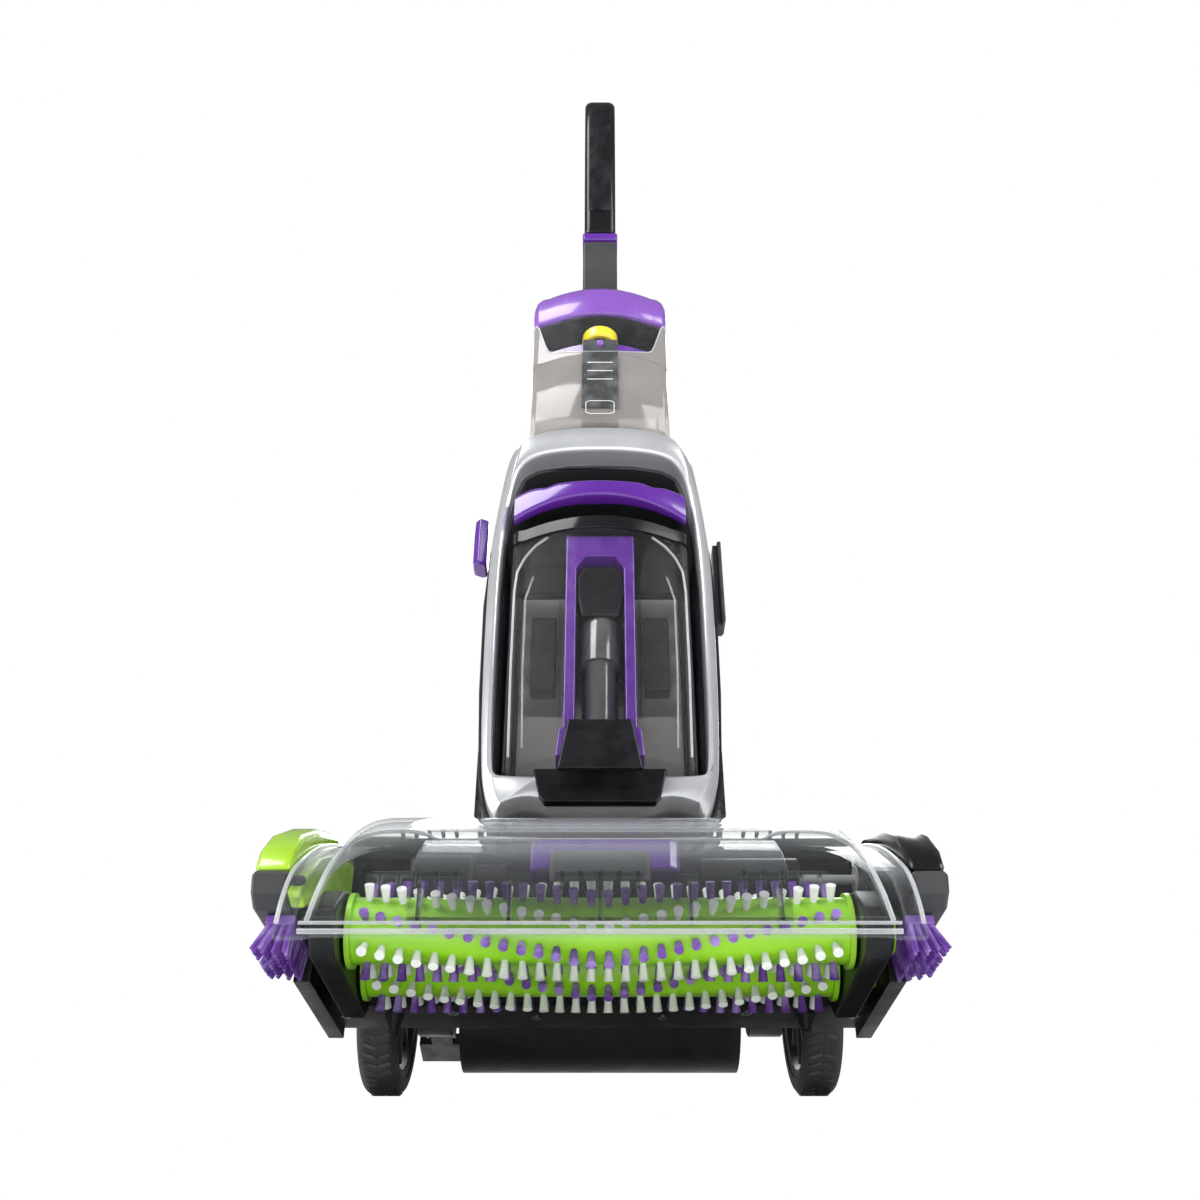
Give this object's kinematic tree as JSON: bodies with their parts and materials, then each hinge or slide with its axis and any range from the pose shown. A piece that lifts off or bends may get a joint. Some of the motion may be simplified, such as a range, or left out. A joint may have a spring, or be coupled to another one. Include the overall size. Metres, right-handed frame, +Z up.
{
  "type": "upright carpet cleaner",
  "caption": "Upright carpet washing machine with a clear nozzle over two brush rolls, reclining silver body, lift-out recovery and clean-water tanks, rear wheels and a loop handle.",
  "frame": {"origin": "on the floor, in the middle of the machine's footprint", "axes": "+X to the right of someone facing the front of the machine, +Y towards its back, +Z up"},
  "size_m": [0.376, 0.418, 1.117],
  "materials": {
    "black": "satin black moulded plastic",
    "graphite": "fine-textured dark grey plastic",
    "silver": "silver painted plastic",
    "purple": "glossy violet plastic",
    "green": "glossy lime green plastic",
    "yellow": "glossy yellow plastic",
    "clear": "clear polished plastic",
    "smoke": "warm grey tinted clear plastic",
    "grey": "mid grey plastic",
    "motor": "cast motor case",
    "steel": "turned steel",
    "rubber": "matt black rubber",
    "bristle": "nylon bristle tufts in rows of violet and white"
  },
  "bodies": {
    "foot": {"foot_chassis": "black", "foot_cover": "black", "chamber_liner": "graphite", "nozzle_hood": "clear", "suction_channel": "clear", "end_cover_left": "green", "end_cover_right": "graphite", "end_base_left": "graphite", "end_base_right": "graphite", "bearing_block_left": "graphite", "bearing_block_right": "graphite", "edge_brush_left": "bristle", "edge_brush_right": "bristle", "brush_motor": "motor", "drive_belt": "rubber", "heater_cover": "purple", "spray_manifold": "graphite", "water_pump": "grey"},
    "front_roll": {"front_roll_core": "green", "front_roll_bristles": "bristle"},
    "rear_roll": {"rear_roll_core": "green", "rear_roll_bristles": "bristle"},
    "motor_rotor": {"motor_pulley": "steel"},
    "left_wheel": {"hub_left": "black", "tyre_left": "rubber"},
    "right_wheel": {"hub_right": "black", "tyre_right": "rubber"},
    "pedal": {"recline_pedal": "black"},
    "upright": {"motor_housing": "black", "suction_motor": "motor", "silver_arch": "silver", "rear_housing": "graphite", "rear_panel": "graphite", "bay_liner": "black", "suction_duct": "grey", "name_plate": "black", "hose_clip": "purple", "hose_rest": "grey", "handle_stem": "graphite", "handle_collar": "purple", "handle_loop": "grey", "grip_panel": "black"},
    "fan": {"suction_fan": "black"},
    "power_rocker": {"power_switch": "grey"},
    "heat_rocker": {"heat_switch": "grey"},
    "hook": {"cord_hook_upper": "graphite"},
    "trigger": {"spray_trigger": "purple"},
    "recovery_tank": {"tank_shell": "clear", "tank_lid": "black", "tank_handle": "purple", "tank_badge": "black", "tank_stack": "purple", "inlet_tube": "grey", "separator_cone": "graphite"},
    "float": {"tank_float": "grey"},
    "clean_tank": {"clean_shell": "smoke", "clean_deck": "purple", "clean_cap": "purple", "cap_lid": "graphite"},
    "cap": {"fill_cap": "yellow"}
  },
  "joints": [
    {"name": "recline", "type": "hinge", "parent": "foot", "child": "upright", "pos_m": [0, 0.118, 0.068], "axis": [-1, 0, 0], "range_deg": [0, 60]},
    {"name": "left_wheel_spin", "type": "hinge", "parent": "foot", "child": "left_wheel", "pos_m": [-0.157, 0.118, 0.068], "axis": [1, 0, 0], "continuous": true},
    {"name": "right_wheel_spin", "type": "hinge", "parent": "foot", "child": "right_wheel", "pos_m": [0.157, 0.118, 0.068], "axis": [1, 0, 0], "continuous": true},
    {"name": "front_roll_spin", "type": "hinge", "parent": "foot", "child": "front_roll", "pos_m": [0, -0.135, 0.0284], "axis": [1, 0, 0], "continuous": true},
    {"name": "rear_roll_spin", "type": "hinge", "parent": "foot", "child": "rear_roll", "pos_m": [0, -0.077, 0.0284], "axis": [1, 0, 0], "continuous": true},
    {"name": "motor_spin", "type": "hinge", "parent": "foot", "child": "motor_rotor", "pos_m": [0.14, -0.088, 0.078], "axis": [1, 0, 0], "continuous": true},
    {"name": "pedal_press", "type": "hinge", "parent": "foot", "child": "pedal", "pos_m": [-0.122, 0.152, 0.056], "axis": [-1, 0, 0], "range_deg": [0, 15], "stiffness_Nm_per_rad": 0.5, "springref_deg": -8.59},
    {"name": "fan_spin", "type": "hinge", "parent": "upright", "child": "fan", "pos_m": [-0.04, 0.118, 0.068], "axis": [1, 0, 0], "continuous": true},
    {"name": "power_rock", "type": "hinge", "parent": "upright", "child": "power_rocker", "pos_m": [-0.031, 0.184, 0.135], "axis": [1, 0, 0], "range_deg": [0, 12]},
    {"name": "heat_rock", "type": "hinge", "parent": "upright", "child": "heat_rocker", "pos_m": [0.031, 0.184, 0.135], "axis": [1, 0, 0], "range_deg": [0, 12]},
    {"name": "hook_turn", "type": "hinge", "parent": "upright", "child": "hook", "pos_m": [0, 0.197, 0.508], "axis": [0, 1, 0], "range_deg": [0, 180]},
    {"name": "trigger_pull", "type": "hinge", "parent": "upright", "child": "trigger", "pos_m": [0, 0.122, 1.083], "axis": [1, 0, 0], "range_deg": [0, 9], "stiffness_Nm_per_rad": 0.3, "springref_deg": -5.73},
    {"name": "recovery_tank_out", "type": "slide", "parent": "upright", "child": "recovery_tank", "axis": [0, -1, 0], "range_m": [0, 0.16]},
    {"name": "float_rise", "type": "slide", "parent": "recovery_tank", "child": "float", "axis": [0, 0, 1], "range_m": [0, 0.15]},
    {"name": "clean_tank_out", "type": "slide", "parent": "upright", "child": "clean_tank", "axis": [0, -1, 0], "range_m": [0, 0.16]},
    {"name": "fill_cap_turn", "type": "hinge", "parent": "clean_tank", "child": "cap", "pos_m": [0, 0.046, 0.67], "axis": [0, 0, 1], "range_deg": [0, 90]}
  ],
  "couplings": [
    {"joint": "rear_roll_spin", "follows": "front_roll_spin", "ratio": 1},
    {"joint": "motor_spin", "follows": "front_roll_spin", "ratio": 1.5714}
  ]
}
